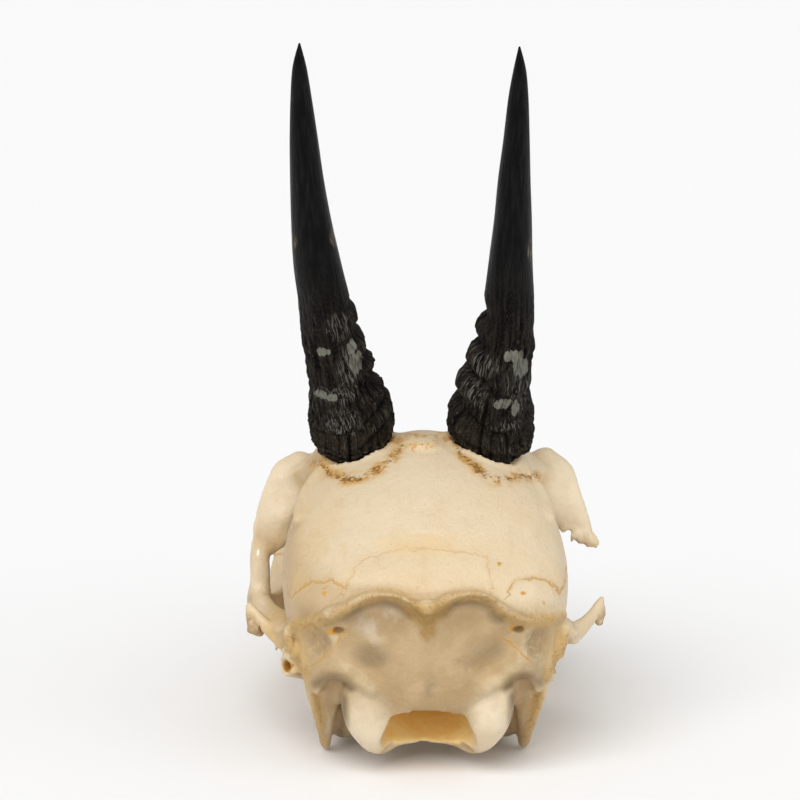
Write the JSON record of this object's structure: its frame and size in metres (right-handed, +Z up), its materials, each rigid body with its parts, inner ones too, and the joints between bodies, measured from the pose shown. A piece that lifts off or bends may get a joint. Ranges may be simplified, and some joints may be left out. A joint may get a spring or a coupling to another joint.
{
  "type": "animal skull",
  "caption": "Skull of a small antelope with slender upright horns, an open brain case, one whole and one broken cheek arch, and cheek teeth; no lower jaw.",
  "frame": {"origin": "on the table, under the middle of the skull's bounding box", "axes": "+Y towards the snout, +X to the animal's right, +Z up; the palate lies level"},
  "size_m": [0.0754, 0.1664, 0.1479],
  "materials": {
    "bone": "cream bone, satin, with tan and orange-brown staining",
    "horn": "near-black fibrous horn, satin towards the tips",
    "tooth": "ivory tooth enamel, glossy"
  },
  "bodies": {
    "root": {"skull": "bone", "left_horn_sheath": "horn", "right_horn_sheath": "horn", "left_premolar_2": "tooth", "left_premolar_3": "tooth", "left_premolar_4": "tooth", "left_molar_1": "tooth", "left_molar_2": "tooth", "left_molar_3": "tooth", "right_premolar_2": "tooth", "right_premolar_3": "tooth", "right_premolar_4": "tooth", "right_molar_1": "tooth", "right_molar_2": "tooth", "right_molar_3": "tooth"}
  },
  "joints": []
}
